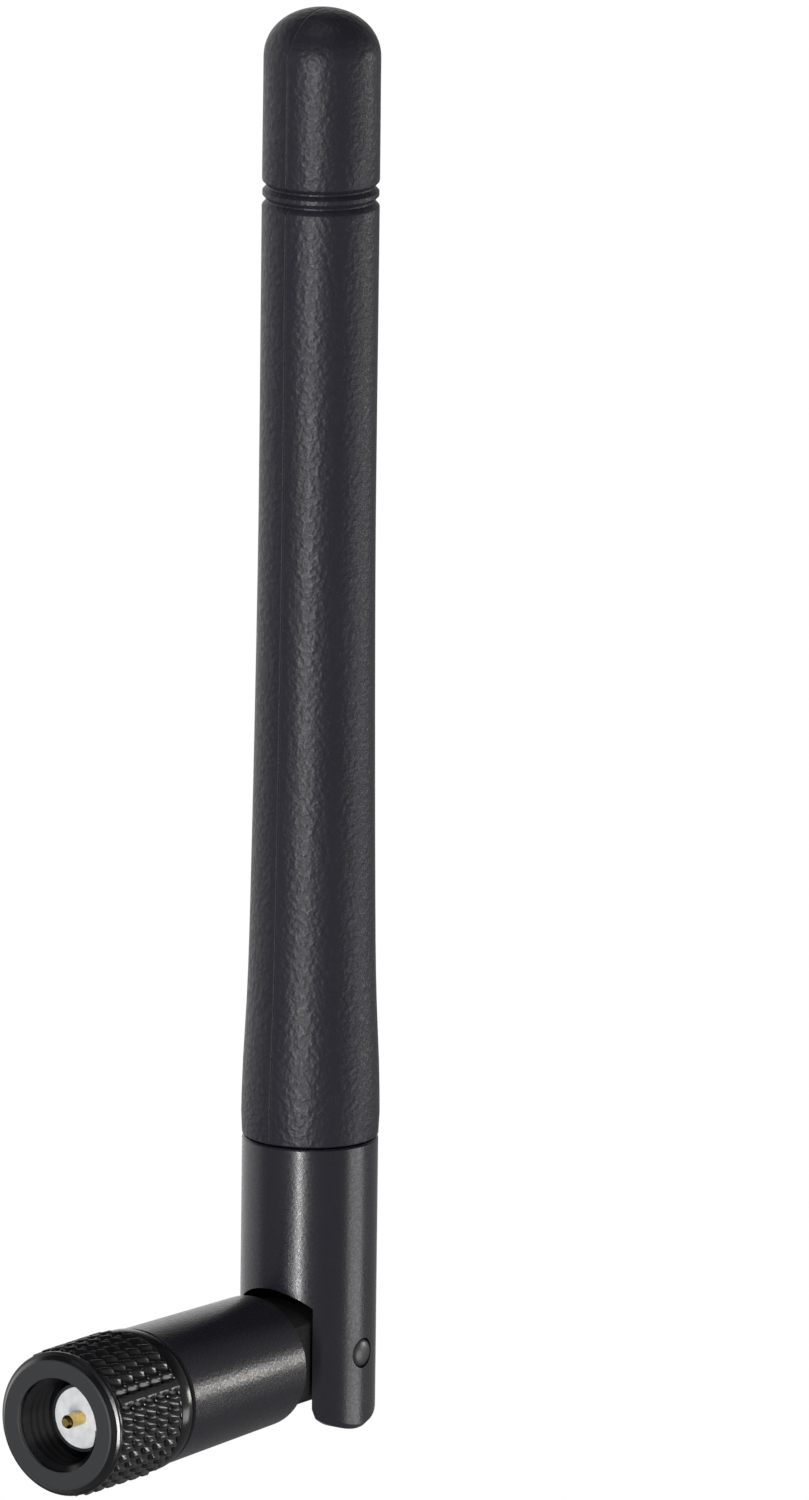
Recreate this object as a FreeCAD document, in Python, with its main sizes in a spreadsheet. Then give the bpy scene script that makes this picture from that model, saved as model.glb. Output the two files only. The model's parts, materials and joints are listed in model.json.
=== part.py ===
import FreeCAD, Part
import Sketcher
import math
import os

# A hinged whip antenna with a screw-on coaxial plug, folded to a right angle.
# The origin is the middle of the plug's mating plane. The plug's mouth looks along -Y,
# the hinge axis runs along X and the whip stands along +Z. Lengths are in millimetres.

# Driving dimensions: alias, value, meaning
DIMENSIONS = [
    ("hinge_setback", 25.7, "mating plane of the plug to the hinge axis"),
    ("fork_radius", 4.55, "outside of the fork"),
    ("ear_reach", 5.2, "hinge axis to the round end of the ears"),
    ("ear_gap", 5.8, "between the two ears"),
    ("ear_edge_bevel", 0.35, "bevel on the outer edges of the ears"),
    ("fork_top", 14.35, "hinge axis to the joint with the cover"),
    ("joint_bevel", 0.12, "bevels of the fork and the cover at their joint"),
    ("opening_corner", 3.45, "hinge axis to the fork's opening beside the ears"),
    ("opening_crown", 4.6, "hinge axis to the top of the fork's opening"),
    ("cavity_radius", 3.9, "round back of the space for the tongue"),
    ("cavity_roof", 3.95, "hinge axis to the roof of that space"),
    ("spigot_radius", 3.5, "neck that the cover is pushed on"),
    ("spigot_length", 6.0, "length of that neck"),
    ("fork_passage_radius", 1.15, "passage for the cable in the fork"),
    ("shoulder_radius", 4.63, "widest place of the cover"),
    ("shoulder_height", 16.0, "hinge axis to that place"),
    ("taper_radius", 4.22, "cover above its steep taper"),
    ("taper_height", 27.7, "hinge axis to that place"),
    ("taper_hollow", 0.04, "hollow of the long taper above that place"),
    ("head_radius", 3.92, "cover above its long taper"),
    ("head_height", 57.0, "hinge axis to the start of that width"),
    ("groove_height", 78.1, "hinge axis to the lower groove"),
    ("groove_spacing", 0.95, "from one groove to the next"),
    ("groove_width", 0.8, "each groove at the surface"),
    ("groove_depth", 0.32, "each groove"),
    ("dome_rise", 3.3, "height of the dome"),
    ("cover_tip", 91.0, "hinge axis to the tip"),
    ("cover_wall", 0.88, "wall of the cover above its long taper"),
    ("seat_gap", 0.03, "round pieces that sit in each other"),
    ("barrel_mouth", 6.4, "mating plane to the barrel's front face"),
    ("barrel_front_radius", 4.72, "outside of the barrel at its front"),
    ("barrel_back_radius", 4.46, "outside of the barrel at its shoulder"),
    ("barrel_edge_bevel", 0.15, "bevel of the barrel's edges"),
    ("shoulder_reach", 6.2, "hinge axis to the barrel's shoulder"),
    ("tongue_radius", 3.7, "round of the tongue and of its end"),
    ("ear_clearance", 0.15, "between the tongue's flats and each ear"),
    ("lead_slot_width", 2.4, "slot for the cable in the tongue"),
    ("lead_slot_room", 1.2, "slot below the cable's axis"),
    ("pin_radius", 1.0, "hinge pins"),
    ("pin_running_gap", 0.05, "round the pins in the tongue"),
    ("pin_recess", 0.15, "pin heads below the fork's surface"),
    ("pin_inset", 0.15, "pins back from the cable slot"),
    ("pin_bevel", 0.15, "bevel of the pin ends"),
    ("bush_radius", 3.75, "seat of the bush in the barrel"),
    ("bush_length", 1.7, "bush along the barrel"),
    ("flange_radius", 3.3, "flange of the plug body"),
    ("flange_thickness", 1.2, "that flange"),
    ("flange_play", 0.1, "play of the flange along the axis, each side"),
    ("flange_side_gap", 0.25, "round the flange"),
    ("washer_thickness", 0.6, "friction washer"),
    ("washer_hole_radius", 1.8, "hole of the friction washer"),
    ("chamber_radius", 2.5, "inside of the barrel behind the washer"),
    ("chamber_length", 7.5, "length of that space"),
    ("barrel_passage_radius", 1.15, "passage for the cable in the barrel"),
    ("outer_contact_radius", 2.295, "outside of the outer contact"),
    ("outer_contact_length", 2.4, "that contact"),
    ("neck_radius", 2.7, "plug body inside the nut and the bush"),
    ("neck_running_gap", 0.08, "round that neck in the nut and the bush"),
    ("insulator_radius", 2.07, "insulator"),
    ("insulator_length", 7.4, "insulator"),
    ("ring_place", 4.35, "mating plane to the split ring's groove"),
    ("ring_groove_width", 0.65, "that groove"),
    ("ring_floor_radius", 2.35, "floor of that groove"),
    ("ring_thickness", 0.5, "split ring along the axis"),
    ("ring_outer_radius", 3.0, "outside of the split ring"),
    ("ring_side_gap", 0.08, "round the split ring, inside and outside"),
    ("ring_opening", 1.2, "opening of the split ring"),
    ("gasket_thickness", 0.6, "sealing gasket"),
    ("gasket_radius", 3.05, "outside of the gasket"),
    ("stem_radius", 0.95, "crimp stem"),
    ("stem_length", 4.6, "crimp stem"),
    ("contact_radius", 0.46, "centre contact"),
    ("contact_reach", 1.73, "centre contact past the mating plane"),
    ("contact_point_length", 0.3, "tapered end of the centre contact"),
    ("contact_point_radius", 0.27, "flat end of the centre contact"),
    ("contact_neck_radius", 0.28, "centre contact in the insulator's face"),
    ("contact_neck_length", 0.7, "that neck"),
    ("contact_tail_radius", 0.635, "captive tail of the centre contact"),
    ("contact_tail_end", 7.0, "mating plane to the end of the tail"),
    ("solder_cup_depth", 1.6, "hole for the conductor in the tail"),
    ("nut_overhang", 2.6, "nut's face in front of the mating plane"),
    ("nut_length", 8.7, "coupling nut"),
    ("nut_face_radius", 4.34, "flat face of the nut"),
    ("nut_collar_radius", 4.86, "smooth ends of the nut"),
    ("nut_face_bevel", 0.45, "bevel of the nut's face, along the axis"),
    ("nut_back_radius", 4.7, "back face of the nut"),
    ("nut_back_bevel", 0.16, "bevel of the nut's back, along the axis"),
    ("front_collar_length", 0.9, "smooth front end of the nut"),
    ("back_collar_length", 1.3, "smooth back end of the nut"),
    ("crest_radius", 5.02, "top of the knurl's ridges"),
    ("knurl_floor_radius", 4.72, "floor between the ridges"),
    ("ridge_width", 0.3, "top of each ridge"),
    ("ridge_foot_width", 0.74, "foot of each ridge"),
    ("ridge_foot_depth", 0.15, "foot of each ridge below the floor"),
    ("thread_radius", 3.175, "thread of the nut at its roots"),
    ("thread_length", 5.8, "nut's face to the end of its threaded bore"),
    ("jacket_radius", 0.9, "jacket of the cable"),
    ("braid_radius", 0.68, "braid of the cable"),
    ("insulation_radius", 0.43, "insulation of the cable"),
    ("conductor_radius", 0.15, "conductor of the cable"),
    ("lead_gap", 0.02, "between the layers of the cable"),
    ("lead_bend_radius", 3.2, "cable's bend at the hinge"),
    ("braid_start", 0.6, "flange of the plug body to the spread braid"),
    ("braid_spread", 0.2, "thickness of the braid over the stem"),
    ("braid_run_in", 0.6, "stem's end to the jacket"),
    ("ferrule_wall", 0.3, "crimp ferrule"),
    ("ferrule_length", 3.8, "crimp ferrule"),
    ("jacket_strip", 3.0, "end of the jacket below the sleeve's top"),
    ("sleeve_bottom", 24.0, "hinge axis to the sleeve's open end"),
    ("sleeve_length", 25.0, "sleeve radiator"),
    ("sleeve_radius", 2.5, "outside of the sleeve radiator"),
    ("sleeve_wall", 0.3, "wall of the sleeve radiator"),
    ("braid_stub", 0.6, "braid above the sleeve's cap"),
    ("solder_width", 0.6, "solder ring round the braid"),
    ("insulation_stub", 1.8, "insulation above the braid"),
    ("conductor_stub", 2.0, "conductor in the upper radiator"),
    ("upper_radius", 0.7, "upper radiator"),
    ("upper_length", 26.5, "upper radiator"),
    ("shrink_wall", 0.2, "heat-shrink tube"),
    ("shrink_length", 5.5, "heat-shrink tube"),
    ("spacer_length", 3.0, "each spacer ring"),
    ("lower_spacer_height", 30.0, "hinge axis to the lower spacer"),
    ("tip_spacer_drop", 4.5, "foot of the tip spacer below the upper radiator's end"),
]


class Size:
    """A length: its number, and the sheet's expression that gives it."""

    def __init__(self, number, text):
        self.number = number
        self.text = text

    def __add__(self, other):
        other = as_size(other)
        return Size(self.number + other.number, "({} + {})".format(self.text, other.text))

    def __sub__(self, other):
        other = as_size(other)
        return Size(self.number - other.number, "({} - {})".format(self.text, other.text))

    def __mul__(self, other):
        other = as_size(other)
        return Size(self.number * other.number, "({} * {})".format(self.text, other.text))

    def __truediv__(self, other):
        other = as_size(other)
        return Size(self.number / other.number, "({} / {})".format(self.text, other.text))

    def __neg__(self):
        return ZERO - self


def as_size(value):
    return value if isinstance(value, Size) else Size(float(value), repr(float(value)))


def leg(hypotenuse, other_leg):
    """The third side of a right-angled triangle."""
    square = hypotenuse * hypotenuse - other_leg * other_leg
    return Size(math.sqrt(square.number), "sqrt({})".format(square.text))


ZERO = as_size(0)


def write_sheet(doc):
    """Write the driving dimensions in the sheet, and give each one as a Size."""
    sheet = doc.addObject("Spreadsheet::Sheet", "Sizes")
    for row, (alias, value, meaning) in enumerate(DIMENSIONS, start=1):
        sheet.set("A{}".format(row), meaning)
        sheet.set("B{}".format(row), str(value))
        sheet.setAlias("B{}".format(row), alias)
    doc.recompute()
    return {alias: Size(value, "Sizes." + alias) for alias, value, meaning in DIMENSIONS}


doc = FreeCAD.newDocument("hinged_antenna")
size = write_sheet(doc)

# Places along the plug's axis, from the mating plane towards the hinge
HINGE = size["hinge_setback"]
SHOULDER = HINGE - size["shoulder_reach"]
BUSH_BACK = size["barrel_mouth"] + size["bush_length"]
FLANGE_FRONT = BUSH_BACK + size["flange_play"]
FLANGE_BACK = FLANGE_FRONT + size["flange_thickness"]
WASHER_FRONT = FLANGE_BACK + size["flange_play"]
WASHER_BACK = WASHER_FRONT + size["washer_thickness"]
CHAMBER_END = WASHER_BACK + size["chamber_length"]
STEM_END = FLANGE_BACK + size["stem_length"]
JACKET_START = STEM_END + size["braid_run_in"]
BEND_START = HINGE - size["lead_bend_radius"]
NUT_FACE = -size["nut_overhang"]
NUT_BACK = NUT_FACE + size["nut_length"]
THREAD_END = NUT_FACE + size["thread_length"]
RING_BACK = size["ring_place"] + size["ring_groove_width"]
RING_PLAY = (size["ring_groove_width"] - size["ring_thickness"]) / 2
INSULATOR_SEAT = size["insulator_length"] + size["seat_gap"]

# Radii that follow from the pieces that sit in each other
NECK_BORE = size["neck_radius"] + size["neck_running_gap"]
FLANGE_BORE = size["flange_radius"] + size["flange_side_gap"]
LEAD_BORE = size["insulation_radius"] + size["seat_gap"]
BRAID_BORE = size["stem_radius"] + size["seat_gap"]
BRAID_OUTSIDE = BRAID_BORE + size["braid_spread"]
FERRULE_BORE = BRAID_OUTSIDE + size["seat_gap"]
COVER_BORE = size["head_radius"] - size["cover_wall"]
SPACER_RADIUS = COVER_BORE - size["seat_gap"]

# Places across the hinge, from the middle of the fork
EAR_FACE = size["ear_gap"] / 2
TONGUE_HALF = EAR_FACE - size["ear_clearance"]
PIN_INNER = size["lead_slot_width"] / 2 + size["pin_inset"]
PIN_OUTER = size["fork_radius"] - size["pin_recess"]

# Places along the whip, from the hinge axis
DOME_BASE = size["cover_tip"] - size["dome_rise"]
SPIGOT_TOP = size["fork_top"] + size["spigot_length"]
SLEEVE_TOP = size["sleeve_bottom"] + size["sleeve_length"]
JACKET_TOP = SLEEVE_TOP - size["jacket_strip"]
BRAID_TOP = SLEEVE_TOP + size["braid_stub"]
INSULATION_TOP = BRAID_TOP + size["insulation_stub"]
CONDUCTOR_TOP = INSULATION_TOP + size["conductor_stub"]
UPPER_TOP = INSULATION_TOP + size["upper_length"]
TIP_SPACER = UPPER_TOP - size["tip_spacer_drop"]

# Cuts that run out of a piece go this far past it, and cuts to one side this far behind their sketch
CLEAR = size["fork_radius"] * 2
BEHIND = size["seat_gap"]

ALONG_PLUG = FreeCAD.Rotation(FreeCAD.Vector(1, 0, 0), -90)
ALONG_HINGE = FreeCAD.Rotation(FreeCAD.Vector(0, 1, 0), 90)
UPRIGHT = FreeCAD.Rotation()

# How a sketch numbers its own two axes: level and upright
SKETCH_AXES = (-1, -2)


def origin_plane(body, role):
    for feature in body.Origin.OriginFeatures:
        if feature.Role == role:
            return feature
    raise ValueError(role)


def new_body(name, turn, setback=ZERO):
    """A body whose own origin lies on the plug's axis, set back from the mating plane."""
    body = doc.addObject("PartDesign::Body", name)
    body.Label = name
    body.Placement = FreeCAD.Placement(FreeCAD.Vector(0, setback.number, 0), turn)
    body.setExpression("Placement.Base.y", setback.text)
    return body


def new_sketch(body, name, plane):
    sketch = body.newObject("Sketcher::SketchObject", name)
    sketch.AttachmentSupport = (origin_plane(body, plane), [""])
    sketch.MapMode = "FlatFace"
    return sketch


def pin_point(sketch, geometry, point, place):
    """Tie a point's two coordinates to their expressions."""
    level, upright = SKETCH_AXES
    for kind, axis, length in (("DistanceX", upright, place[0]), ("DistanceY", level, place[1])):
        if length is ZERO:
            sketch.addConstraint(Sketcher.Constraint("PointOnObject", geometry, point, axis))
            continue
        index = sketch.addConstraint(
            Sketcher.Constraint(kind, level, 1, geometry, point, length.number)
        )
        sketch.setExpression("Constraints[{}]".format(index), length.text)


def arc_about(centre, start, end):
    """The short arc from start to end about a centre, and whether it runs backwards."""
    angles = [math.atan2(p.y - centre.y, p.x - centre.x) for p in (start, end)]
    runs_back = (angles[1] - angles[0]) % (2 * math.pi) > math.pi
    if runs_back:
        angles.reverse()
    circle = Part.Circle(centre, FreeCAD.Vector(0, 0, 1), (start - centre).Length)
    return Part.ArcOfCircle(circle, angles[0], angles[1]), runs_back


def centre_on_axis(start, end):
    """The centre of an arc through two places, on the upright axis."""
    rise = (end.y - start.y) * 2
    return FreeCAD.Vector(0, (end.Length ** 2 - start.Length ** 2) / rise, 0)


def bulge_radius(start, end, bulge):
    """The radius of an arc that stands out from its chord. A hollow is below zero."""
    across = end[0] - start[0]
    along = end[1] - start[1]
    half_chord_squared = (across * across + along * along) / 4
    return (half_chord_squared + bulge * bulge) / (bulge * 2)


def centre_of_bulge(start, end, bulge, radius):
    outward = FreeCAD.Vector(end.y - start.y, start.x - end.x, 0).normalize()
    return (start + end) / 2 - outward * (radius - bulge)


def draw_outline(sketch, points, arcs=(), bulges=()):
    """A closed outline through pairs of lengths.

    The sides numbered in arcs are arcs about the upright axis. Those in bulges, which gives
    each side's bulge, are shallow arcs that swell or are hollow.
    """
    places = [FreeCAD.Vector(x.number, y.number, 0) for x, y in points]
    bulges = dict(bulges)
    sides = []
    for number, start in enumerate(places):
        following = (number + 1) % len(places)
        end = places[following]
        if number in arcs:
            arc, runs_back = arc_about(centre_on_axis(start, end), start, end)
        elif number in bulges:
            radius = bulge_radius(points[number], points[following], bulges[number])
            centre = centre_of_bulge(start, end, bulges[number].number, radius.number)
            arc, runs_back = arc_about(centre, start, end)
        else:
            arc, runs_back = Part.LineSegment(start, end), False
        side = sketch.addGeometry(arc, False)
        sides.append((side, 2, 1) if runs_back else (side, 1, 2))
        if number in arcs:
            sketch.addConstraint(Sketcher.Constraint("PointOnObject", side, 3, SKETCH_AXES[1]))
        elif number in bulges:
            size_of_arc = radius if radius.number > 0 else -radius
            index = sketch.addConstraint(
                Sketcher.Constraint("Radius", side, size_of_arc.number)
            )
            sketch.setExpression("Constraints[{}]".format(index), size_of_arc.text)
    for (side, first, last), (following, start, end) in zip(sides, sides[1:] + sides[:1]):
        sketch.addConstraint(Sketcher.Constraint("Coincident", side, last, following, start))
    for (side, first, last), place in zip(sides, points):
        pin_point(sketch, side, first, place)


def draw_circle(sketch, centre_height, radius):
    circle = Part.Circle(FreeCAD.Vector(0, centre_height.number, 0), FreeCAD.Vector(0, 0, 1), radius.number)
    geometry = sketch.addGeometry(circle, False)
    pin_point(sketch, geometry, 3, (ZERO, centre_height))
    index = sketch.addConstraint(Sketcher.Constraint("Radius", geometry, radius.number))
    sketch.setExpression("Constraints[{}]".format(index), radius.text)


def block(left, right, bottom, top):
    """The corners of a rectangle."""
    return [(left, bottom), (right, bottom), (right, top), (left, top)]


def turn_sketch(body, sketch, axis="V_Axis", kind="PartDesign::Revolution"):
    """Turn a sketch fully about one of its own axes."""
    turned = body.newObject(kind, sketch.Name + "_turned")
    turned.Profile = sketch
    turned.ReferenceAxis = (sketch, [axis])
    turned.Angle = 360
    return turned


def turn_outline(body, name, outline, kind="PartDesign::Revolution", bulges=()):
    """Turn an outline of (radius, height) pairs about the body's own axis."""
    sketch = new_sketch(body, name, "XZ_Plane")
    draw_outline(sketch, outline, bulges=bulges)
    return turn_sketch(body, sketch, kind=kind)


def turned_piece(name, outline, turn=ALONG_PLUG, setback=ZERO):
    body = new_body(name, turn, setback)
    turn_outline(body, name + "_outline", outline)
    return body


def tube(name, inner, outer, bottom, top, turn=ALONG_PLUG, setback=ZERO):
    return turned_piece(name, block(inner, outer, bottom, top), turn, setback)


def whip_tube(name, inner, outer, bottom, top):
    tube(name, inner, outer, bottom, top, UPRIGHT, HINGE)


def cut(body, sketch, ahead, behind):
    """Cut a sketch out of a body, ahead along the sketch's normal and behind it."""
    doc.recompute()
    before = body.Shape.Volume
    pocket = body.newObject("PartDesign::Pocket", sketch.Name + "_cut")
    pocket.Profile = sketch
    pocket.SideType = "Two sides"
    pocket.Type = "Length"
    pocket.Type2 = "Length"
    pocket.setExpression("Length", behind.text)
    pocket.setExpression("Length2", ahead.text)
    doc.recompute()
    if body.Shape.Volume >= before:
        raise RuntimeError(sketch.Name + " cuts nothing")


def bevel_edges(body, name, length, is_wanted):
    doc.recompute()
    base = body.Tip
    wanted = ["Edge{}".format(n) for n, e in enumerate(base.Shape.Edges, start=1) if is_wanted(e)]
    bevel = body.newObject("PartDesign::Chamfer", name)
    bevel.Base = (base, wanted)
    bevel.setExpression("Size", length.text)
    body.Tip = bevel


def quarter_round(radius, rise, base, steps=6):
    """Places on a quarter of an ellipse that stands on a base, from its foot to its top."""
    places = []
    for step in range(steps):
        angle = math.pi / 2 * step / steps
        places.append((radius * math.cos(angle), base + rise * math.sin(angle)))
    return places + [(ZERO, base + rise)]


# Connector


def make_plug_body():
    turned_piece("plug_body", [
        (size["insulator_radius"] + size["seat_gap"], ZERO),
        (size["outer_contact_radius"], ZERO),
        (size["outer_contact_radius"], size["outer_contact_length"]),
        (size["neck_radius"], size["outer_contact_length"]),
        (size["neck_radius"], size["ring_place"]),
        (size["ring_floor_radius"], size["ring_place"]),
        (size["ring_floor_radius"], RING_BACK),
        (size["neck_radius"], RING_BACK),
        (size["neck_radius"], FLANGE_FRONT),
        (size["flange_radius"], FLANGE_FRONT),
        (size["flange_radius"], FLANGE_BACK),
        (size["stem_radius"], FLANGE_BACK),
        (size["stem_radius"], STEM_END),
        (LEAD_BORE, STEM_END),
        (LEAD_BORE, INSULATOR_SEAT),
        (size["insulator_radius"] + size["seat_gap"], INSULATOR_SEAT),
    ])


def make_insulator():
    tail_start = size["contact_neck_length"]
    neck_bore = size["contact_neck_radius"] + size["seat_gap"]
    tail_bore = size["contact_tail_radius"] + size["seat_gap"]
    turned_piece("plug_insulator", [
        (neck_bore, ZERO),
        (size["insulator_radius"], ZERO),
        (size["insulator_radius"], size["insulator_length"]),
        (tail_bore, size["insulator_length"]),
        (tail_bore, tail_start),
        (neck_bore, tail_start),
    ])


def make_centre_contact():
    tip = -size["contact_reach"]
    cup_floor = size["contact_tail_end"] - size["solder_cup_depth"]
    cup_radius = size["conductor_radius"] + size["lead_gap"]
    tail_start = size["contact_neck_length"] + size["seat_gap"]
    turned_piece("centre_contact", [
        (ZERO, tip),
        (size["contact_point_radius"], tip),
        (size["contact_radius"], tip + size["contact_point_length"]),
        (size["contact_radius"], ZERO),
        (size["contact_neck_radius"], ZERO),
        (size["contact_neck_radius"], tail_start),
        (size["contact_tail_radius"], tail_start),
        (size["contact_tail_radius"], size["contact_tail_end"]),
        (cup_radius, size["contact_tail_end"]),
        (cup_radius, cup_floor),
        (ZERO, cup_floor),
    ])


def make_retaining_ring():
    front = size["ring_place"] + RING_PLAY
    body = tube("nut_retaining_ring", size["ring_floor_radius"] + size["ring_side_gap"],
                size["ring_outer_radius"], front, front + size["ring_thickness"])
    opening = new_sketch(body, "ring_opening", "XY_Plane")
    half = size["ring_opening"] / 2
    draw_outline(opening, block(-half, half, ZERO, CLEAR))
    cut(body, opening, CLEAR, BEHIND)


def make_gasket():
    back = THREAD_END - size["seat_gap"]
    tube("sealing_gasket", size["neck_radius"] + size["seat_gap"],
         size["gasket_radius"], back - size["gasket_thickness"], back)


def make_ferrule():
    start = FLANGE_BACK + size["braid_start"]
    tube("crimp_ferrule", FERRULE_BORE, FERRULE_BORE + size["ferrule_wall"],
         start, start + size["ferrule_length"])


def make_lower_cable():
    tube("coax_lower_jacket", size["braid_radius"] + size["lead_gap"], size["jacket_radius"],
         JACKET_START, BEND_START)
    inside = size["insulation_radius"] + size["lead_gap"]
    run_in = STEM_END + size["seat_gap"]
    turned_piece("coax_lower_braid", [
        (BRAID_BORE, FLANGE_BACK + size["braid_start"]),
        (BRAID_OUTSIDE, FLANGE_BACK + size["braid_start"]),
        (BRAID_OUTSIDE, STEM_END),
        (size["braid_radius"], JACKET_START - size["seat_gap"]),
        (size["braid_radius"], BEND_START),
        (inside, BEND_START),
        (inside, run_in),
        (BRAID_BORE, run_in),
    ])
    tube("coax_lower_insulation", size["conductor_radius"] + size["lead_gap"],
         size["insulation_radius"], INSULATOR_SEAT, BEND_START)
    cup_floor = size["contact_tail_end"] - size["solder_cup_depth"]
    tube("coax_lower_conductor", ZERO, size["conductor_radius"],
         cup_floor + size["lead_gap"], BEND_START)


# Coupling nut


def make_coupling_nut():
    ring_radius = size["ring_outer_radius"] + size["ring_side_gap"]
    knurl_front = NUT_FACE + size["front_collar_length"]
    knurl_back = NUT_BACK - size["back_collar_length"]
    body = turned_piece("coupling_nut", [
        (size["thread_radius"], NUT_FACE),
        (size["nut_face_radius"], NUT_FACE),
        (size["nut_collar_radius"], NUT_FACE + size["nut_face_bevel"]),
        (size["nut_collar_radius"], knurl_front),
        (size["knurl_floor_radius"], knurl_front),
        (size["knurl_floor_radius"], knurl_back),
        (size["nut_collar_radius"], knurl_back),
        (size["nut_collar_radius"], NUT_BACK - size["nut_back_bevel"]),
        (size["nut_back_radius"], NUT_BACK),
        (NECK_BORE, NUT_BACK),
        (NECK_BORE, RING_BACK),
        (ring_radius, RING_BACK),
        (ring_radius, size["ring_place"]),
        (NECK_BORE, size["ring_place"]),
        (NECK_BORE, THREAD_END),
        (size["thread_radius"], THREAD_END),
    ])
    add_ridges(body, knurl_front, knurl_back)


def add_ridges(body, front, back, count=37):
    """One ridge along the nut, and its copies all round."""
    crest = leg(size["crest_radius"], size["ridge_width"] / 2)
    foot = size["knurl_floor_radius"] - size["ridge_foot_depth"]
    sketch = new_sketch(body, "ridge", "XY_Plane")
    sketch.setExpression("AttachmentOffset.Base.z", front.text)
    draw_outline(sketch, [
        (-size["ridge_foot_width"] / 2, foot),
        (size["ridge_foot_width"] / 2, foot),
        (size["ridge_width"] / 2, crest),
        (-size["ridge_width"] / 2, crest),
    ])
    ridge = body.newObject("PartDesign::Pad", "ridge_raised")
    ridge.Profile = sketch
    ridge.setExpression("Length", (back - front).text)
    ring = body.newObject("PartDesign::PolarPattern", "ridges")
    ring.Originals = [ridge]
    ring.Axis = (origin_plane(body, "Z_Axis"), [""])
    ring.Angle = 360
    ring.Occurrences = count
    body.Tip = ring


# Swivel barrel


def make_hinge_barrel():
    bevel = size["barrel_edge_bevel"]
    body = turned_piece("hinge_barrel", [
        (size["bush_radius"], size["barrel_mouth"]),
        (size["barrel_front_radius"] - bevel, size["barrel_mouth"]),
        (size["barrel_front_radius"], size["barrel_mouth"] + bevel),
        (size["barrel_back_radius"], SHOULDER - bevel),
        (size["barrel_back_radius"] - bevel, SHOULDER),
        (size["tongue_radius"], SHOULDER),
        (size["tongue_radius"], HINGE),
        (ZERO, HINGE),
        (ZERO, CHAMBER_END),
        (size["chamber_radius"], CHAMBER_END),
        (size["chamber_radius"], WASHER_BACK),
        (FLANGE_BORE, WASHER_BACK),
        (FLANGE_BORE, BUSH_BACK),
        (size["bush_radius"], BUSH_BACK),
    ])
    add_knuckle(body)
    for name, side in (("left_flat", -1), ("right_flat", 1)):
        flat = new_sketch(body, name, "XZ_Plane")
        edges = [TONGUE_HALF * side, CLEAR * side]
        edges.sort(key=lambda place: place.number)
        draw_outline(flat, block(edges[0], edges[1], SHOULDER, HINGE + CLEAR))
        cut(body, flat, CLEAR, CLEAR)
    passage = new_sketch(body, "cable_passage", "XY_Plane")
    draw_circle(passage, ZERO, size["barrel_passage_radius"])
    cut(body, passage, HINGE, BEHIND)
    slot = new_sketch(body, "cable_slot", "XZ_Plane")
    half = size["lead_slot_width"] / 2
    draw_outline(slot, block(-half, half, BEND_START, HINGE + CLEAR))
    cut(body, slot, CLEAR, size["lead_slot_room"])
    holes = new_sketch(body, "pin_holes", "YZ_Plane")
    draw_circle(holes, HINGE, size["pin_radius"] + size["pin_running_gap"])
    cut(body, holes, CLEAR, CLEAR)


def add_knuckle(body):
    """The tongue's round end: narrow bands that follow a ball about the hinge axis."""
    radius = size["tongue_radius"]
    bands = quarter_round(radius, radius, ZERO)[1:]
    right = [(across, out) for out, across in bands]
    left = [(-across, out) for out, across in reversed(bands)]
    sketch = new_sketch(body, "knuckle", "XZ_Plane")
    sketch.setExpression("AttachmentOffset.Base.y", HINGE.text)
    draw_outline(sketch, left + [(ZERO, radius)] + right)
    turn_sketch(body, sketch, "H_Axis")


def make_swivel_bush():
    tube("swivel_bush", NECK_BORE, size["bush_radius"] - size["seat_gap"],
         size["barrel_mouth"], BUSH_BACK - size["seat_gap"])


def make_friction_washer():
    tube("swivel_friction_washer", size["washer_hole_radius"], size["flange_radius"],
         WASHER_FRONT, WASHER_BACK - size["seat_gap"])


def make_hinge_loop():
    loop = doc.addObject("Part::Torus", "coax_hinge_loop")
    loop.Label = "coax_hinge_loop"
    loop.Angle3 = 90
    loop.Placement = FreeCAD.Placement(FreeCAD.Vector(), ALONG_HINGE)
    loop.setExpression("Radius1", size["lead_bend_radius"].text)
    loop.setExpression("Radius2", size["jacket_radius"].text)
    loop.setExpression("Placement.Base.y", BEND_START.text)
    loop.setExpression("Placement.Base.z", size["lead_bend_radius"].text)


# Whip


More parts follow.
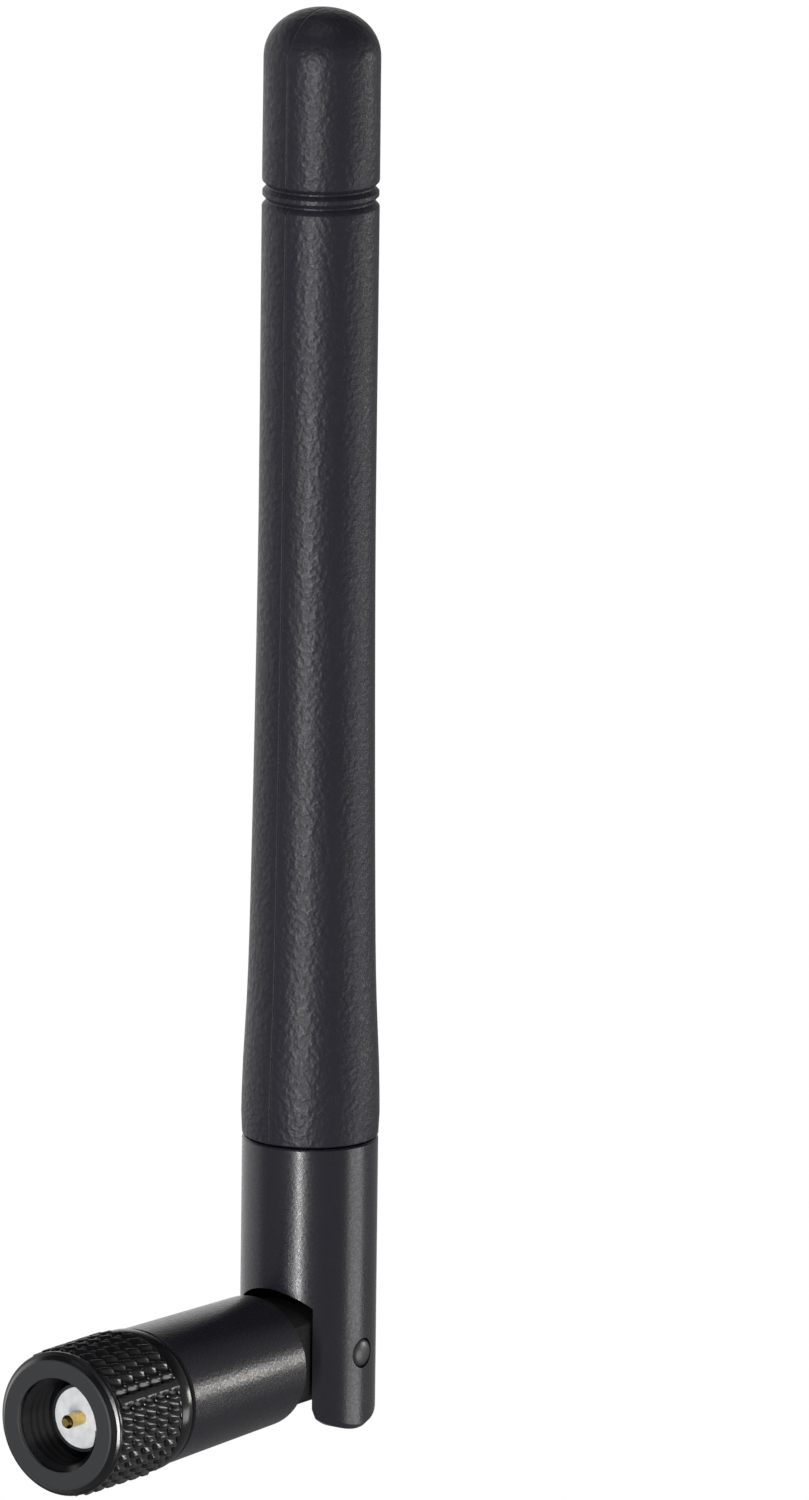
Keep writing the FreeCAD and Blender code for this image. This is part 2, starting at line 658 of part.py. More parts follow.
def make_fork():
    body = turned_piece("fork_housing", [
        (size["fork_passage_radius"], -size["ear_reach"]),
        (size["fork_radius"], -size["ear_reach"]),
        (size["fork_radius"], size["fork_top"] - size["joint_bevel"]),
        (size["fork_radius"] - size["joint_bevel"], size["fork_top"]),
        (size["spigot_radius"], size["fork_top"]),
        (size["spigot_radius"], SPIGOT_TOP),
        (size["fork_passage_radius"], SPIGOT_TOP),
    ], UPRIGHT, HINGE)
    reach = size["ear_reach"]
    ends = new_sketch(body, "ear_ends", "YZ_Plane")
    draw_outline(ends, [
        (reach, ZERO),
        (ZERO, -reach),
        (-reach, ZERO),
        (-CLEAR, ZERO),
        (-CLEAR, -CLEAR),
        (CLEAR, -CLEAR),
        (CLEAR, ZERO),
    ], arcs=(0, 1))
    cut(body, ends, CLEAR, CLEAR)
    opening = new_sketch(body, "front_opening", "XZ_Plane")
    draw_outline(opening, [
        (-EAR_FACE, -CLEAR),
        (EAR_FACE, -CLEAR),
        (EAR_FACE, size["opening_corner"]),
        (ZERO, size["opening_crown"]),
        (-EAR_FACE, size["opening_corner"]),
    ], arcs=(2, 3))
    cut(body, opening, CLEAR, BEHIND)
    cavity = new_sketch(body, "tongue_space", "XY_Plane")
    corner = leg(size["cavity_radius"], EAR_FACE)
    draw_outline(cavity, [
        (-EAR_FACE, ZERO),
        (EAR_FACE, ZERO),
        (EAR_FACE, corner),
        (ZERO, size["cavity_radius"]),
        (-EAR_FACE, corner),
    ], arcs=(2, 3))
    cut(body, cavity, size["cavity_roof"], CLEAR)
    pins = new_sketch(body, "ear_holes", "YZ_Plane")
    draw_circle(pins, ZERO, size["pin_radius"] + size["seat_gap"])
    cut(body, pins, CLEAR, CLEAR)

    def ear_rim(edge):
        near = 0.01
        middle = edge.valueAt((edge.FirstParameter + edge.LastParameter) / 2)
        at_end = abs(math.hypot(middle.y, middle.z) - reach.number) < near
        on_side = abs(math.hypot(middle.x, middle.y) - size["fork_radius"].number) < near
        return at_end and on_side and middle.z < 0

    bevel_edges(body, "ear_bevels", size["ear_edge_bevel"], ear_rim)


def make_hinge_pins():
    """Two short pins, one in each ear, with the cable's way between them."""
    body = new_body("hinge_pins", ALONG_HINGE, HINGE)
    body.AllowCompound = True
    bevel = size["pin_bevel"]
    pin = turn_outline(body, "pin_outline", [
        (ZERO, PIN_INNER),
        (size["pin_radius"] - bevel, PIN_INNER),
        (size["pin_radius"], PIN_INNER + bevel),
        (size["pin_radius"], PIN_OUTER - bevel),
        (size["pin_radius"] - bevel, PIN_OUTER),
        (ZERO, PIN_OUTER),
    ])
    mirrored = body.newObject("PartDesign::Mirrored", "other_pin")
    mirrored.Originals = [pin]
    mirrored.MirrorPlane = (origin_plane(body, "XY_Plane"), [""])
    body.Tip = mirrored


def make_radome():
    body = new_body("radome", UPRIGHT, HINGE)
    half = size["groove_width"] / 2
    floor = size["head_radius"] - size["groove_depth"]
    upper_groove = size["groove_height"] + size["groove_spacing"]
    turn_outline(body, "radome_outline", [
        (ZERO, size["fork_top"]),
        (size["fork_radius"] - size["joint_bevel"], size["fork_top"]),
        (size["fork_radius"], size["fork_top"] + size["joint_bevel"]),
        (size["shoulder_radius"], size["shoulder_height"]),
        (size["taper_radius"], size["taper_height"]),
        (size["head_radius"], size["head_height"]),
        (size["head_radius"], size["groove_height"] - half),
        (floor, size["groove_height"]),
        (size["head_radius"], size["groove_height"] + half),
        (size["head_radius"], upper_groove - half),
        (floor, upper_groove),
        (size["head_radius"], upper_groove + half),
    ] + quarter_round(size["head_radius"], size["dome_rise"], DOME_BASE),
        bulges={4: -size["taper_hollow"]})
    mouth = size["spigot_radius"] + size["seat_gap"]
    mouth_end = SPIGOT_TOP + size["seat_gap"]
    turn_outline(body, "radome_bore", [
        (ZERO, size["fork_top"]),
        (mouth, size["fork_top"]),
        (mouth, mouth_end),
        (COVER_BORE, mouth_end),
        (COVER_BORE, DOME_BASE),
        (ZERO, DOME_BASE),
    ], "PartDesign::Groove")


def make_upper_cable():
    start = size["lead_bend_radius"]
    whip_tube("coax_upper_jacket", size["braid_radius"] + size["lead_gap"],
              size["jacket_radius"], start, JACKET_TOP)
    whip_tube("coax_upper_braid", size["insulation_radius"] + size["lead_gap"],
              size["braid_radius"], start, BRAID_TOP)
    whip_tube("coax_upper_insulation", size["conductor_radius"] + size["lead_gap"],
              size["insulation_radius"], start, INSULATION_TOP - size["seat_gap"])
    whip_tube("coax_upper_conductor", ZERO, size["conductor_radius"],
              start, CONDUCTOR_TOP - size["seat_gap"])


def make_sleeve():
    """The lower half of the dipole: a tube with a cap that is soldered to the braid."""
    cap = size["braid_radius"] + size["seat_gap"]
    inside = size["sleeve_radius"] - size["sleeve_wall"]
    turned_piece("sleeve_radiator", [
        (inside, size["sleeve_bottom"]),
        (size["sleeve_radius"], size["sleeve_bottom"]),
        (size["sleeve_radius"], SLEEVE_TOP),
        (cap, SLEEVE_TOP),
        (cap, SLEEVE_TOP - size["sleeve_wall"]),
        (inside, SLEEVE_TOP - size["sleeve_wall"]),
    ], UPRIGHT, HINGE)
    turned_piece("solder_ring", [
        (cap, SLEEVE_TOP),
        (cap + size["solder_width"], SLEEVE_TOP),
        (cap, BRAID_TOP),
    ], UPRIGHT, HINGE)


def make_upper_radiator():
    bore = size["conductor_radius"] + size["lead_gap"]
    turned_piece("upper_radiator", [
        (bore, INSULATION_TOP),
        (size["upper_radius"], INSULATION_TOP),
        (size["upper_radius"], UPPER_TOP),
        (ZERO, UPPER_TOP),
        (ZERO, CONDUCTOR_TOP),
        (bore, CONDUCTOR_TOP),
    ], UPRIGHT, HINGE)
    inside = size["upper_radius"] + size["seat_gap"]
    bottom = BRAID_TOP + size["seat_gap"]
    whip_tube("heat_shrink", inside, inside + size["shrink_wall"],
              bottom, bottom + size["shrink_length"])
    whip_tube("tip_spacer", inside, SPACER_RADIUS, TIP_SPACER, TIP_SPACER + size["spacer_length"])
    whip_tube("sleeve_spacer", size["sleeve_radius"] + size["seat_gap"], SPACER_RADIUS,
              size["lower_spacer_height"], size["lower_spacer_height"] + size["spacer_length"])


make_plug_body()
make_insulator()
make_centre_contact()
make_retaining_ring()
make_gasket()
make_ferrule()
make_lower_cable()
make_coupling_nut()
make_hinge_barrel()
make_swivel_bush()
make_friction_washer()
make_hinge_loop()
make_fork()
make_hinge_pins()
make_radome()
make_upper_cable()
make_sleeve()
make_upper_radiator()
doc.recompute()

for item in doc.Objects:
    if "Invalid" in item.State or "Error" in item.State:
        raise RuntimeError("{} failed: {}".format(item.Label, item.State))

pieces = [o for o in doc.Objects if o.TypeId in ("PartDesign::Body", "Part::Torus")]
for piece in pieces:
    if piece.Shape.isNull() or not piece.Shape.isValid():
        raise RuntimeError(piece.Label + " has no valid shape")

os.makedirs("parts", exist_ok=True)
for piece in pieces:
    piece.Shape.exportStep("parts/" + piece.Label + ".step")
    print("{} {:.2f} mm3, {} solid(s)".format(piece.Label, piece.Shape.Volume, len(piece.Shape.Solids)))
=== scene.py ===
"""Studio picture of a hinged wifi antenna. Lengths are in metres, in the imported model's frame."""

import json
import math

import bpy
from mathutils import Matrix, Vector


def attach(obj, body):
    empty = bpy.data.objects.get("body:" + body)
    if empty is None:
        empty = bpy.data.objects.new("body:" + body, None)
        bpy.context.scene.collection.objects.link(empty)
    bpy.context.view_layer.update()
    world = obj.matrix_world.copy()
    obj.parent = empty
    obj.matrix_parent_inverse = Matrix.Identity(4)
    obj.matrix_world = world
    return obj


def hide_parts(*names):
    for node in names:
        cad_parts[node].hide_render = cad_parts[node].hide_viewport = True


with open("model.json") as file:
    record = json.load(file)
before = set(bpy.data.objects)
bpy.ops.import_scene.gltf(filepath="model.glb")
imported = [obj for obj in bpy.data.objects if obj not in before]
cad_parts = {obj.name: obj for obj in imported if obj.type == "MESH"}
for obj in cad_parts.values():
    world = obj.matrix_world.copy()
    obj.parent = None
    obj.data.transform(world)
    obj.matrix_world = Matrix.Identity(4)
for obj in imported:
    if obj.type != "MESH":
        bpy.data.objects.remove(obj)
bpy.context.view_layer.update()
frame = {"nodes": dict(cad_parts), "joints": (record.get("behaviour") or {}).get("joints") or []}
MM = 0.001
JOINTS = {joint["name"]: joint for joint in frame["joints"]}
HINGE = Vector(JOINTS["tilt"]["pos_m"])
PLUG = Vector(JOINTS["nut_spin"]["pos_m"])


# Camera: the photo's long lens, its direction and its slight tilt
CAMERA_AZIMUTH = -54.555
CAMERA_ELEVATION = 12.9845
CAMERA_ROLL = 0.6968
CAMERA_DISTANCE = 1806.5466 * MM
CAMERA_ACROSS = -6.467 * MM
CAMERA_UP = -39.6193 * MM
CAMERA_LENS = 648.488
CAMERA_FILM = 36
CAMERA_NEAREST = 0.05
CAMERA_FURTHEST = 50


def way_to(azimuth, elevation):
    """The direction with this azimuth, from X towards Y, and this elevation, in degrees."""
    turn = math.radians(azimuth)
    rise = math.radians(elevation)
    return Vector((math.cos(turn) * math.cos(rise), math.sin(turn) * math.cos(rise),
                   math.sin(rise)))


def place_camera():
    """Look at the hinge from the front right and a little above."""
    back = way_to(CAMERA_AZIMUTH, CAMERA_ELEVATION)
    level = way_to(CAMERA_AZIMUTH + 90, 0)
    steep = back.cross(level)
    roll = math.radians(CAMERA_ROLL)
    right = level * math.cos(roll) + steep * math.sin(roll)
    up = steep * math.cos(roll) - level * math.sin(roll)
    data = bpy.data.cameras.new("camera")
    data.lens = CAMERA_LENS
    data.sensor_width = CAMERA_FILM
    data.clip_start = CAMERA_NEAREST
    data.clip_end = CAMERA_FURTHEST
    camera = bpy.data.objects.new("camera", data)
    bpy.context.scene.collection.objects.link(camera)
    axes = Matrix((right, up, back)).transposed()
    spot = HINGE + back * CAMERA_DISTANCE - right * CAMERA_ACROSS - up * CAMERA_UP
    camera.matrix_world = Matrix.Translation(spot) @ axes.to_4x4()
    bpy.context.scene.camera = camera


# Finishes: node trees written as sums
class Value:
    """A number given by a node. Python's signs on it add the Math nodes."""

    def __init__(self, recipe, socket):
        self.recipe = recipe
        self.socket = socket

    def __add__(self, other):
        return self.recipe.maths("ADD", self, other)

    def __radd__(self, other):
        return self.recipe.maths("ADD", other, self)

    def __sub__(self, other):
        return self.recipe.maths("SUBTRACT", self, other)

    def __rsub__(self, other):
        return self.recipe.maths("SUBTRACT", other, self)

    def __mul__(self, other):
        return self.recipe.maths("MULTIPLY", self, other)

    def __rmul__(self, other):
        return self.recipe.maths("MULTIPLY", other, self)

    def size(self):
        return self.recipe.maths("ABSOLUTE", self)

    def sine(self):
        return self.recipe.maths("SINE", self)

    def larger(self, other):
        return self.recipe.maths("MAXIMUM", self, other)

    def ramp(self, low, high, first=0.0, last=1.0):
        """Go smoothly from first at low to last at high."""
        return self.recipe.node("ShaderNodeMapRange", {"interpolation_type": "SMOOTHSTEP"},
                                {"Value": self, "From Min": low, "From Max": high,
                                 "To Min": first, "To Max": last})


class Recipe:
    """The node tree of one finish or of the studio's surroundings."""

    def __init__(self, tree):
        self.tree = tree
        tree.nodes.clear()

    def node(self, kind, settings, inputs, output=0):
        """Add a node: its settings first, then its inputs. Give one of its outputs, if any."""
        made = self.tree.nodes.new(kind)
        for name, setting in settings.items():
            setattr(made, name, setting)
        for name, value in inputs.items():
            if isinstance(value, Value):
                self.tree.links.new(value.socket, made.inputs[name])
            else:
                made.inputs[name].default_value = value
        return Value(self, made.outputs[output]) if len(made.outputs) else None

    def maths(self, operation, first, second=0.0):
        return self.node("ShaderNodeMath", {"operation": operation}, {0: first, 1: second})

    def place(self, centre=(0, 0, 0)):
        """The point on the piece, measured from centre."""
        point = self.node("ShaderNodeTexCoord", {}, {}, "Object")
        return self.node("ShaderNodeVectorMath", {"operation": "SUBTRACT"}, {0: point, 1: centre})

    def part(self, point, axis):
        """One of the three numbers of a point."""
        return self.node("ShaderNodeSeparateXYZ", {}, {0: point}, axis)

    def grain(self, point, spacing, detail=2.0, roughness=0.5):
        """Cloudy noise from 0 to 1, with lumps about one spacing apart."""
        return self.node("ShaderNodeTexNoise", {}, {"Vector": point, "Scale": 1 / spacing,
                                                    "Detail": detail, "Roughness": roughness})

    def stretched(self, point, across, along, axis):
        """The point scaled across and along an axis. A small scale draws grain out into lines."""
        scale = [across, across, across]
        scale[axis] = along
        return self.node("ShaderNodeVectorMath", {"operation": "MULTIPLY"}, {0: point, 1: scale})

    def tint(self, share, first, second):
        """Mix two colours, each a tuple or a link.

        A Mix node takes colours on inputs 6 and 7, and gives one on output 2.
        """
        colours = [c if isinstance(c, Value) else (*c, 1) for c in (first, second)]
        return self.node("ShaderNodeMix", {"data_type": "RGBA"},
                         {0: share, 6: colours[0], 7: colours[1]}, 2)

    def relief(self, height, depth):
        """Bumps whose height goes from 0 to 1, each depth high."""
        return self.node("ShaderNodeBump", {}, {"Height": height, "Distance": depth})

    def surface(self, inputs):
        """Finish the tree with the surface's shader."""
        shader = self.node("ShaderNodeBsdfPrincipled", {}, inputs)
        self.node("ShaderNodeOutputMaterial", {}, {"Surface": shader})


# The pale grey is painted light: a highlight on the cover's mould line and a reflection on the
# nut's front face.
PAINTED_PALE_GREY = (0.026, 0.027, 0.029)
# The near black is painted shade on the barrel tongue's flats, between the fork's ears.
PAINTED_SHADE_BLACK = (0.001, 0.001, 0.001)
MOULD_LINE_HALF = (0.03 * MM, 0.11 * MM)
# Where the mould line's painted highlight fades in at its foot and out at its top
HIGHLIGHT_FADE_FOOT = 0.6 * MM
HIGHLIGHT_FADE_TOP = 1.2 * MM
FLATS_FADE = 0.06 * MM
FLATS_FADE_START = 0.1 * MM
# The fade at the edge of the nut face's painted reflection
PAINTED_FACE_FADE = 0.06 * MM
TOOL_LINE_DRAW = 0.04
EXTRUDED_DRAW = 0.03
SCATTER_REACH = 0.4 * MM


def new_finish(name):
    material = bpy.data.materials.new(name)
    material.use_nodes = True
    return material, Recipe(material.node_tree)


def toned(colour, share):
    """A colour made darker, or paler where share is above 1."""
    return tuple(part * share for part in colour)


def moulded(name, colour, centre, rough, grain, depth, gloss=0.5, parting=None, joint=None):
    """Moulded plastic: a fine spark-eroded grain, worn a little smoother on its peaks.

    With parting, a dark mould line runs up the piece, with a pale grey painted highlight along it
    between the heights given.
    With joint, a tongue's half thickness and where it starts, the tongue's flats get a near-black
    painted shade and are rougher.
    """
    material, recipe = new_finish(name)
    point = recipe.place(centre)
    fine = recipe.grain(point, grain, detail=1.5)
    broad = recipe.grain(point, grain * 14)
    peaks = fine.ramp(0.42, 0.68)
    height = fine * 0.8 + broad * 0.2
    tone = recipe.tint(peaks * 0.6 + broad * 0.4, colour, toned(colour, 1.4))
    roughness = rough + (broad - 0.5) * 0.1 - peaks * 0.07
    if parting:
        foot, top = parting
        up = recipe.part(point, 2)
        line = 1.0 - recipe.part(point, 0).size().ramp(*MOULD_LINE_HALF)
        height = height * (1.0 - line * 0.6) - line * 0.3
        tone = recipe.tint(line * 0.4, tone, toned(colour, 0.3))
        # Painted highlight: the mould line is painted pale grey between foot and top.
        painted_pale = up.ramp(foot, foot + HIGHLIGHT_FADE_FOOT) * up.ramp(top - HIGHLIGHT_FADE_TOP, top, 1, 0)
        tone = recipe.tint(line * painted_pale * 0.8, tone, PAINTED_PALE_GREY)
    if joint:
        half, start = joint
        flat = 1.0 - recipe.part(point, 0).size().ramp(half, half + FLATS_FADE)
        flat = flat * recipe.part(point, 1).ramp(start, start + FLATS_FADE_START)
        # Painted shade: the tongue's flats inside the fork are painted near black.
        tone = recipe.tint(flat * 0.8, tone, PAINTED_SHADE_BLACK)
        roughness = roughness + flat * 0.5
    recipe.surface({"Base Color": tone, "Roughness": roughness, "Specular IOR Level": gloss,
                    "Normal": recipe.relief(height, depth)})
    return material


def plated(name, colour, centre, axis, rough, line, depth, metallic=1.0, gloss=0.5, marks=0.15,
           painted_face_end=None):
    """Turned and plated metal: fine tool lines round the axis, and faint handling marks.

    A face that lies beyond the last argument's place along the axis is painted paler grey, a
    painted reflection, and is rougher than the rest.
    """
    material, recipe = new_finish(name)
    point = recipe.place(centre)
    drawn = recipe.stretched(point, TOOL_LINE_DRAW, 1.0, axis)
    lines = recipe.grain(drawn, line, roughness=0.7)
    cloud = recipe.grain(point, line * 18, detail=3.0)
    tone = recipe.tint(cloud.ramp(0.35, 0.7), toned(colour, 0.7), colour)
    roughness = rough + (lines - 0.5) * marks + (cloud - 0.5) * marks
    if painted_face_end is not None:
        # Painted reflection: the front face is painted paler grey, and made rougher.
        painted_pale = 1.0 - recipe.part(point, axis).ramp(painted_face_end, painted_face_end + PAINTED_FACE_FADE)
        tone = recipe.tint(painted_pale, tone, PAINTED_PALE_GREY)
        roughness = roughness + painted_pale * 0.3
    recipe.surface({"Base Color": tone, "Metallic": metallic, "Roughness": roughness,
                    "Specular IOR Level": gloss, "Normal": recipe.relief(lines, depth)})
    return material


def extruded(name, colour, centre, axis, rough, spacing, depth, scatter=0.0):
    """Extruded or shrunk plastic: faint lines along it, and a slightly uneven skin."""
    material, recipe = new_finish(name)
    point = recipe.place(centre)
    drawn = recipe.stretched(point, 1.0, EXTRUDED_DRAW, axis)
    lines = recipe.grain(drawn, spacing)
    skin = recipe.grain(point, spacing * 3, detail=3.0)
    tone = recipe.tint(skin.ramp(0.3, 0.7), toned(colour, 0.85), colour)
    recipe.surface({"Base Color": tone, "Roughness": rough + (lines - 0.5) * 0.12,
                    "Specular IOR Level": 0.5, "Subsurface Weight": scatter,
                    "Subsurface Radius": (SCATTER_REACH, SCATTER_REACH, SCATTER_REACH),
                    "Normal": recipe.relief(lines * 0.5 + skin * 0.5, depth)})
    return material


def braided(name, colour, centre, axis, radius, strands, pitch):
    """Tinned braid: two sets of flat strands that cross over and under each other."""
    material, recipe = new_finish(name)
    point = recipe.place(centre)
    first, second = [recipe.part(point, other) for other in range(3) if other != axis]
    round_way = recipe.maths("ARCTAN2", first, second) * (strands / 2)
    turn = recipe.part(point, axis) * (2 * math.pi / pitch)
    right = (round_way + turn).sine().size()
    left = (round_way - turn).sine().size()
    over = ((round_way * 2).sine() * (turn * 2).sine()).ramp(-0.2, 0.2)
    strand = right * over + left * (1.0 - over)
    wires = recipe.grain(point, radius * 0.12, detail=1.0)
    height = strand * 0.85 + wires * 0.15
    # Painted shade: the colour falls to about a third in the grooves between the strands.
    recipe.surface({"Base Color": recipe.tint(strand.ramp(0.1, 0.7), toned(colour, 0.35), colour),
                    "Metallic": 1.0, "Roughness": 0.42 - strand * 0.12,
                    "Normal": recipe.relief(height, radius * 0.12)})
    return material


# Studio: a pale floor far below, a white backdrop, and four soft boxes that the black parts mirror
FLOOR_LEVEL = -500 * MM
FLOOR_SIZE = 3.0
FLOOR_GLOW = 1.5
FLOOR_GLOW_SHARE = 0.6
FLOOR_MIRRORED = 0.22
BACKDROP_WAY = (-0.966, 0.259, 0.0)
BACKDROP_EDGE = (0.50, 0.75)
HORIZON = 0.02
HORIZON_FADE = (0.30, 0.62)
ROOM_LIGHT = 0.32
ROOM_MIRRORED = 0.25
DARK_MIRRORED = 0.06
WHITE = (1, 1, 1)
WARM_WHITE = (1.0, 0.97, 0.92)
LIGHTS_AIM = HINGE + Vector((0, -5 * MM, 35 * MM))


def box_light(name, azimuth, elevation, distance, width, height, radiance, colour=WHITE):
    """A soft box in a direction seen from the whip's middle, turned towards it."""
    away = way_to(azimuth, elevation)
    data = bpy.data.lights.new(name, "AREA")
    data.shape = "RECTANGLE"
    data.size = width
    data.size_y = height
    data.energy = radiance * math.pi * width * height
    data.color = colour
    light = bpy.data.objects.new(name, data)
    bpy.context.scene.collection.objects.link(light)
    facing = away.to_track_quat("Z", "Y").to_matrix().to_4x4()
    light.matrix_world = Matrix.Translation(LIGHTS_AIM + away * distance) @ facing


def surround_with_white():
    """White for the camera. In mirrors, a white backdrop behind the object and a dim room."""
    world = bpy.data.worlds.new("studio")
    bpy.context.scene.world = world
    world.use_nodes = True
    recipe = Recipe(world.node_tree)
    seen = recipe.node("ShaderNodeLightPath", {}, {}, "Is Camera Ray")
    mirrored = recipe.node("ShaderNodeLightPath", {}, {}, "Is Glossy Ray")
    through = recipe.node("ShaderNodeLightPath", {}, {}, "Is Transmission Ray")
    way = recipe.node("ShaderNodeTexCoord", {}, {}, "Generated")
    behind = recipe.node("ShaderNodeVectorMath", {"operation": "DOT_PRODUCT"},
                         {0: way, 1: BACKDROP_WAY}, "Value")
    level = 1.0 - (recipe.part(way, 2) - HORIZON).size().ramp(*HORIZON_FADE)
    backdrop = behind.ramp(*BACKDROP_EDGE)
    room = DARK_MIRRORED + level * (backdrop * (1.0 - ROOM_MIRRORED) + ROOM_MIRRORED)
    white = seen.larger(through)
    strength = white + mirrored * room + (1.0 - white.larger(mirrored)) * ROOM_LIGHT
    light = recipe.node("ShaderNodeBackground", {}, {"Color": (*WHITE, 1), "Strength": strength})
    recipe.node("ShaderNodeOutputWorld", {}, {"Surface": light})


def lay_floor():
    """Pale paper, shown as white to the camera, and dim in the mirrors of the black parts."""
    bpy.ops.object.select_all(action="DESELECT")
    bpy.ops.mesh.primitive_plane_add(size=FLOOR_SIZE, location=(0, 0, FLOOR_LEVEL))
    floor = bpy.context.object
    floor.name = "floor"
    bpy.ops.object.transform_apply(location=True, rotation=True, scale=True)
    material, recipe = new_finish("floor_paper")
    cloud = recipe.grain(recipe.place(), 4 * MM, detail=4.0)
    tone = recipe.tint(cloud, (0.88, 0.88, 0.88), (0.92, 0.92, 0.92))
    paper = recipe.node("ShaderNodeBsdfDiffuse", {}, {"Color": tone})
    lit, dim = [recipe.node("ShaderNodeEmission", {}, {"Color": (*WHITE, 1), "Strength": strength})
                for strength in (FLOOR_GLOW, FLOOR_MIRRORED)]
    seen = recipe.node("ShaderNodeLightPath", {}, {}, "Is Camera Ray")
    mirrored = recipe.node("ShaderNodeLightPath", {}, {}, "Is Glossy Ray")
    shown = recipe.node("ShaderNodeMixShader", {}, {0: seen * FLOOR_GLOW_SHARE, 1: paper, 2: lit})
    mixed = recipe.node("ShaderNodeMixShader", {}, {0: mirrored, 1: shown, 2: dim})
    recipe.node("ShaderNodeOutputMaterial", {}, {"Surface": mixed})
    floor.data.materials.append(material)


def build_studio():
    surround_with_white()
    lay_floor()
    box_light("key_box", azimuth=-71.5, elevation=-4, distance=0.9, width=0.065, height=0.64,
              radiance=44)
    box_light("side_box", azimuth=32, elevation=-19, distance=0.9, width=0.48, height=0.22,
              radiance=3.6)
    box_light("barrel_box", azimuth=54, elevation=-1, distance=0.9, width=0.18, height=0.17,
              radiance=11, colour=WARM_WHITE)
    box_light("top_box", azimuth=-100, elevation=84, distance=1.0, width=0.6, height=0.6,
              radiance=0.8)


# Modelling helpers: turned pieces start from a ring, and are drawn on from it along a profile
SAME_POINT = 1e-7
RING_TURNS = ((0, math.pi / 2, 0), (math.pi / 2, 0, 0), (0, 0, 0))


def start_ring(name, steps, centre, axis, radius):
    """A ring of edges round an axis, left selected in edit mode."""
    bpy.ops.object.select_all(action="DESELECT")
    bpy.ops.mesh.primitive_circle_add(vertices=steps, radius=radius, fill_type="NOTHING",
                                      location=centre, rotation=RING_TURNS[axis])
    piece = bpy.context.object
    piece.name = name
    piece.data.name = name
    bpy.ops.object.transform_apply(location=True, rotation=True, scale=True)
    bpy.ops.object.mode_set(mode="EDIT")
    bpy.ops.mesh.select_all(action="SELECT")
    return piece


def draw_profile(centre, axis, profile):
    """Extrude the selected ring along a profile of (place along the axis, radius)."""
    spot, radius = profile[0]
    for next_spot, next_radius in profile[1:]:
        step = [0, 0, 0]
        step[axis] = next_spot - spot
        bpy.ops.mesh.extrude_region_move(TRANSFORM_OT_translate={"value": step})
        scale = [next_radius / radius] * 3
        scale[axis] = 1
        middle = Vector(centre)
        middle[axis] = next_spot
        bpy.ops.transform.resize(value=scale, center_override=middle)
        spot = next_spot
        radius = next_radius


def select_corners(piece, chosen):
    """Go to edit mode with only these corners selected."""
    bpy.ops.object.mode_set(mode="EDIT")
    bpy.ops.mesh.select_all(action="DESELECT")
    bpy.ops.mesh.select_mode(type="VERT")
    bpy.ops.object.mode_set(mode="OBJECT")
    corners = piece.data.vertices
    for index in chosen:
        corners[index].select = True
    bpy.ops.object.mode_set(mode="EDIT")


def finish_piece(piece, smooth):
    """Leave edit mode with faces outwards, shaded smooth across angles under smooth degrees."""
    bpy.ops.mesh.select_all(action="SELECT")
    bpy.ops.mesh.remove_doubles(threshold=SAME_POINT)
    bpy.ops.mesh.normals_make_consistent(inside=False)
    bpy.ops.object.mode_set(mode="OBJECT")
    bpy.ops.object.shade_smooth_by_angle(angle=math.radians(smooth))
    return piece


def shifted(start, profile):
    """A profile whose places are measured from start."""
    return [(start + along, radius) for along, radius in profile]


def in_metres(start, profile):
    """A profile in millimetres turned into metres, its places measured from start."""
    return [(start + along * MM, radius * MM) for along, radius in profile]


def arc(centre_along, centre_radius, radius_along, radius_out, start, end, steps, fullness=1.0):
    """Points of a quarter round in a profile, from one angle to another, in degrees.

    A fullness above 1 gives the round squarer shoulders.
    """
    angles = [math.radians(start + (end - start) * i / steps) for i in range(steps + 1)]
    return [(centre_along + radius_along * math.sin(a) ** (1 / fullness),
             centre_radius + radius_out * math.cos(a) ** (1 / fullness)) for a in angles]


# Cover: one turned skin with two V grooves and a rounded end, its profile in mm from the hinge
COVER_STEPS = 96
COVER_SMOOTH = 28
COVER_BORE = 3.53 * MM
COVER_BORE_END = 0.5 * MM
COVER_DEPTH = 20.5 * MM
COVER_SIDE = [(14.47, 4.43), (14.50, 4.50), (14.58, 4.555), (14.9, 4.57), (16.0, 4.625),
              (17.5, 4.60), (19.5, 4.54), (21.5, 4.44), (23.6, 4.34), (25.6, 4.27), (27.7, 4.22),
              (31.0, 4.165), (34.8, 4.11), (38.6, 4.06), (43.0, 4.01), (48.0, 3.96),
              (53.0, 3.92), (57.0, 3.90), (64.0, 3.90), (70.0, 3.91), (77.2, 3.915),
              (77.66, 3.915)]
GROOVES = (78.1, 79.05)
GROOVE_HALF = 0.4
GROOVE_FLOOR_HALF = 0.05
GROOVE_FLOOR = 3.61
GROOVE_LIP = 3.915
GROOVE_LIP_WIDTH = 0.06
GROOVE_LIP_DROP = 0.03
COVER_HEAD = [(79.55, GROOVE_LIP), (83.0, 3.91), (86.0, 3.9)]
DOME_FOOT = 87.7
DOME_RISE = 3.3
DOME_RADIUS = 3.9
DOME_END = 89
DOME_STEPS = 24
DOME_FULLNESS = 1.05


